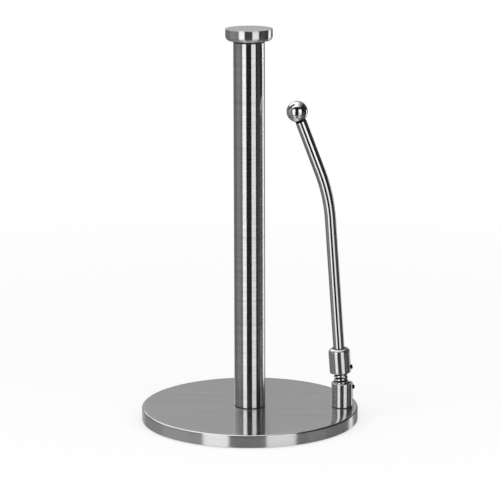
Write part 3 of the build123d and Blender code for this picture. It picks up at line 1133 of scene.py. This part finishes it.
@dataclass
class Studio:
    """Plain pale floor, soft lamps, cards round the object and the camera. Metres and degrees."""

    azimuth: float = 2.75
    distance: float = 2.012
    height: float = 0.5765
    pitch: float = 12.204
    yaw: float = -0.0115
    roll: float = -0.149
    lens_mm: float = 182.08
    sensor_mm: float = 36.0
    sight: float = 100.0
    floor_size: float = 9.0
    floor_level: float = -0.0004
    floor_near: float = 0.25
    floor_far: float = 0.9
    floor_near_white: float = 0.6
    soft_light: float = 0.55
    card_level: float = 0.15
    card_step: float = 4.0
    lamp_target: float = 0.12
    panels: tuple[Panel, ...] = (
        Panel("ceiling", -6.4, 6.4, -6.4, 6.4, 5.8, 0.08),
        Panel("table_depth", -3.2, 3.2, -3.2, 3.2, -5.86, 0.3),
        Panel("softbox_top", -2.5, 0.3, -1.2, 2.2, 2.4, 1.5),
        Panel("softbox_top_fall_off", 0.3, 0.9, -1.2, 2.2, 2.4, 0.8),
        Panel("softbox_top_edge", 0.9, 1.7, -1.2, 2.2, 2.4, 0.3),
    )
    cards: tuple[Card, ...] = (
        Card("grey_card_far_left", -150, -105, 0.18, high=25),
        Card("softbox_back_left", -172, -150, 1.3, low=15),
        Card("softbox_left_back", -150, -105, 1.4, low=25),
        Card("grey_card_left", -105, -68, 0.28),
        Card("grey_card_near_left", -68, -50, 0.22),
        Card("softbox_left", -50, -22, 1.3, high=1),
        Card("softbox_left_upper", -50, -22, 1.9, low=1, high=30),
        Card("flag_over_left", -50, -22, 0.05, low=30),
        Card("flag_front", -22, 17, 0.02),
        Card("softbox_right", 17, 49, 1.05, high=1),
        Card("softbox_right_upper", 17, 49, 1.5, low=1, high=30),
        Card("flag_over_right", 17, 49, 0.05, low=30),
        Card("flag_right", 49, 62, 0.03, high=75),
        Card("grey_card_right", 62, 88, 0.1, high=-4),
        Card("flag_over_side", 62, 88, 0.02, low=-4, high=75),
        Card("flag_side", 88, 114, 0.03, high=75),
        Card("flag_beside_arm", 88, 112, 0.04, low=-34.6, high=34.9, radius=0.2),
        Card("flag_beside_foot", 88, 107.5, 0.04, low=-62, high=-34.6, radius=0.2),
        Card("softbox_back", 114, 140, 1.2, high=4),
        Card("softbox_behind_cap", 108, 128, 2.5, low=-4.45, high=4, radius=3.1),
        Card("flag_behind_cap", 128, 205, 0.12, low=-4.45, high=4, radius=3.1),
        Card("flag_over_back", 114, 140, 0.03, low=4),
        Card("flag_back", 140, 165, 0.15),
        Card("grey_card_back", 165, 188, 0.43),
        Card("grey_card_back_left", 188, 210, 0.43, high=15),
        Card("flag_low", -180, 180, 0.03, low=-33, high=-28),
        Card("table_far_left", -248, -50, 0.26, low=-62, high=-33),
        Card("table_lit_left", -50, -22, 0.85, low=-62, high=-33),
        Card("table_front", -22, 17, 0.2, low=-62, high=-33),
        Card("table_lit_right", 17, 49, 0.75, low=-62, high=-33),
        Card("table_right", 49, 112, 0.22, low=-62, high=-33),
    )
    lamps: tuple[Lamp, ...] = (
        Lamp("lamp_top", (0.0, -0.3, 2.2), 1.8, 20.0),
        Lamp("lamp_left", (-1.7, -1.3, 1.6), 1.2, 12.0),
        Lamp("lamp_right", (1.7, -1.3, 1.6), 1.2, 12.0),
    )

    def show_to(self, thing: Any, camera: bool, diffuse: bool, glossy: bool, shadow: bool) -> None:
        """Sets which rays see a thing of the stage.

        Args:
            thing: Object or lamp.
            camera: Seen by the camera.
            diffuse: Seen by matt surfaces.
            glossy: Seen in reflections.
            shadow: Throws shadows.
        """
        thing.visible_camera = camera
        thing.visible_diffuse = diffuse
        thing.visible_glossy = glossy
        thing.visible_transmission = camera or glossy
        thing.visible_shadow = shadow

    def place(self, name: str, points: list[Any], faces: list[Any], material: Any) -> Any:
        """Puts a thing of the stage in the scene, with a material that isn't sampled as a lamp.

        Args:
            name: Its name.
            points: Its corners.
            faces: Its faces.
            material: Its material.

        Returns:
            The object.
        """
        material.cycles.emission_sampling = "NONE"
        mesh = bpy.data.meshes.new(name)
        mesh.from_pydata(points, [], faces)
        mesh.materials.append(material)
        thing = put(name, mesh)
        return thing

    def hang(self, name: str, points: list[Any], faces: list[Any], strength: float) -> None:
        """Hangs an evenly glowing sheet that only reflections see.

        Args:
            name: Name of the sheet.
            points: Its corners.
            faces: Its faces.
            strength: Its brightness, where 1 is white.
        """
        material, tree = blank_material(name)
        light = add_node(tree, "ShaderNodeEmission", {"Strength": strength})
        add_node(tree, "ShaderNodeOutputMaterial", {"Surface": light})
        self.show_to(self.place(name, points, faces, material), False, False, True, False)

    def build_floor(self) -> None:
        """Lays the pale floor, which metal doesn't mirror: low cards stand for it there."""
        material, tree = blank_material("white_table")
        matt = add_node(tree, "ShaderNodeBsdfDiffuse", {"Color": linear("#F4F4F4")})
        white = add_node(tree, "ShaderNodeEmission", {"Strength": 1.0})
        seen = add_node(tree, "ShaderNodeLightPath").outputs["Is Camera Ray"]
        here = add_node(tree, "ShaderNodeTexCoord").outputs["Object"]
        reach = add_node(tree, "ShaderNodeVectorMath", {0: here}, operation="LENGTH")
        white_share = add_node(tree, "ShaderNodeMapRange", {
            "Value": reach, "From Min": self.floor_near, "From Max": self.floor_far,
            "To Min": self.floor_near_white, "To Max": 1.0})
        share = add_node(tree, "ShaderNodeMath", {0: seen, 1: white_share}, operation="MULTIPLY")
        mixed = add_node(tree, "ShaderNodeMixShader", {0: share, 1: matt, 2: white})
        add_node(tree, "ShaderNodeOutputMaterial", {"Surface": mixed})
        s, z = self.floor_size, self.floor_level
        corners = [(-s, -s, z), (s, -s, z), (s, s, z), (-s, s, z)]
        self.show_to(self.place("floor", corners, [(0, 1, 2, 3)], material), True, True, False, False)

    def build_cards(self) -> None:
        """Stands the cards round the object, and hangs the panels over and under it."""
        for card in self.cards:
            steps = max(2, int(abs(card.last - card.first) / self.card_step))
            bottom, top = (self.card_level + card.radius * math.tan(math.radians(angle))
                           for angle in (card.low, card.high))
            points = []
            for step in range(steps + 1):
                turn = math.radians(self.azimuth + card.first + (card.last - card.first) * step / steps)
                x, y = card.radius * math.sin(turn), -card.radius * math.cos(turn)
                points += [(x, y, bottom), (x, y, top)]
            faces = [(2 * k, 2 * k + 2, 2 * k + 3, 2 * k + 1) for k in range(steps)]
            self.hang(card.name, points, faces, card.glow)
        for panel in self.panels:
            corners = [(panel.left, panel.front, panel.height), (panel.left, panel.back, panel.height),
                       (panel.right, panel.back, panel.height), (panel.right, panel.front, panel.height)]
            self.hang(panel.name, corners, [(0, 1, 2, 3)], panel.glow)

    def build_lamps(self) -> None:
        """Hangs the soft lamps that light the matt surfaces and throw the object's soft shadow."""
        target = UP * self.lamp_target
        for lamp in self.lamps:
            light = bpy.data.lights.new(lamp.name, "AREA")
            light.size = lamp.size
            light.energy = lamp.power
            hung = put(lamp.name, light)
            hung.location = lamp.spot
            hung.rotation_euler = (target - Vector(lamp.spot)).to_track_quat("-Z", "Y").to_euler()
            self.show_to(hung, False, True, False, True)

    def build_world(self) -> None:
        """Makes the surroundings white to the camera and in reflections, and a soft even light elsewhere."""
        world = bpy.data.worlds.new("studio_white")
        bpy.context.scene.world = world
        world.use_nodes = True
        tree = world.node_tree
        tree.nodes.clear()
        ray = add_node(tree, "ShaderNodeLightPath").outputs
        seen = add_node(tree, "ShaderNodeMath", {0: ray["Is Camera Ray"], 1: ray["Is Glossy Ray"]},
                        operation="MAXIMUM")
        shown = add_node(tree, "ShaderNodeMath", {0: seen, 1: ray["Is Transmission Ray"]},
                         operation="MAXIMUM")
        soft, white = (add_node(tree, "ShaderNodeBackground", {"Color": (1, 1, 1, 1), "Strength": strength})
                       for strength in (self.soft_light, 1.0))
        mixed = add_node(tree, "ShaderNodeMixShader", {0: shown, 1: soft, 2: white})
        add_node(tree, "ShaderNodeOutputWorld", {"Surface": mixed})

    def build_camera(self) -> None:
        """Sets the camera at the photograph's angle."""
        data = bpy.data.cameras.new("camera")
        data.lens = self.lens_mm
        data.sensor_width = self.sensor_mm
        data.clip_end = self.sight
        camera = put("camera", data)
        turn = math.radians(self.azimuth)
        camera.location = (self.distance * math.sin(turn), -self.distance * math.cos(turn), self.height)
        level = Euler((math.radians(90 - self.pitch), 0, turn + math.radians(self.yaw)))
        rolled = level.to_matrix() @ Matrix.Rotation(math.radians(self.roll), 3, "Z")
        camera.rotation_euler = rolled.to_euler()
        bpy.context.scene.camera = camera

    def build(self) -> None:
        """Builds the whole studio."""
        self.build_camera()
        self.build_floor()
        self.build_cards()
        self.build_lamps()
        self.build_world()
        bpy.context.scene.view_settings.view_transform = "Standard"
        LOG.info("studio: %d cards, camera at %.3f m", len(self.cards), self.distance)


def main() -> None:
    """Builds the object and its studio."""
    logging.basicConfig(level=logging.INFO, format="%(name)s: %(message)s")
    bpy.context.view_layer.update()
    Foot().build()
    Pole().build()
    SprungArm().build()
    Studio().build()


if __name__ == "__main__":
    main()
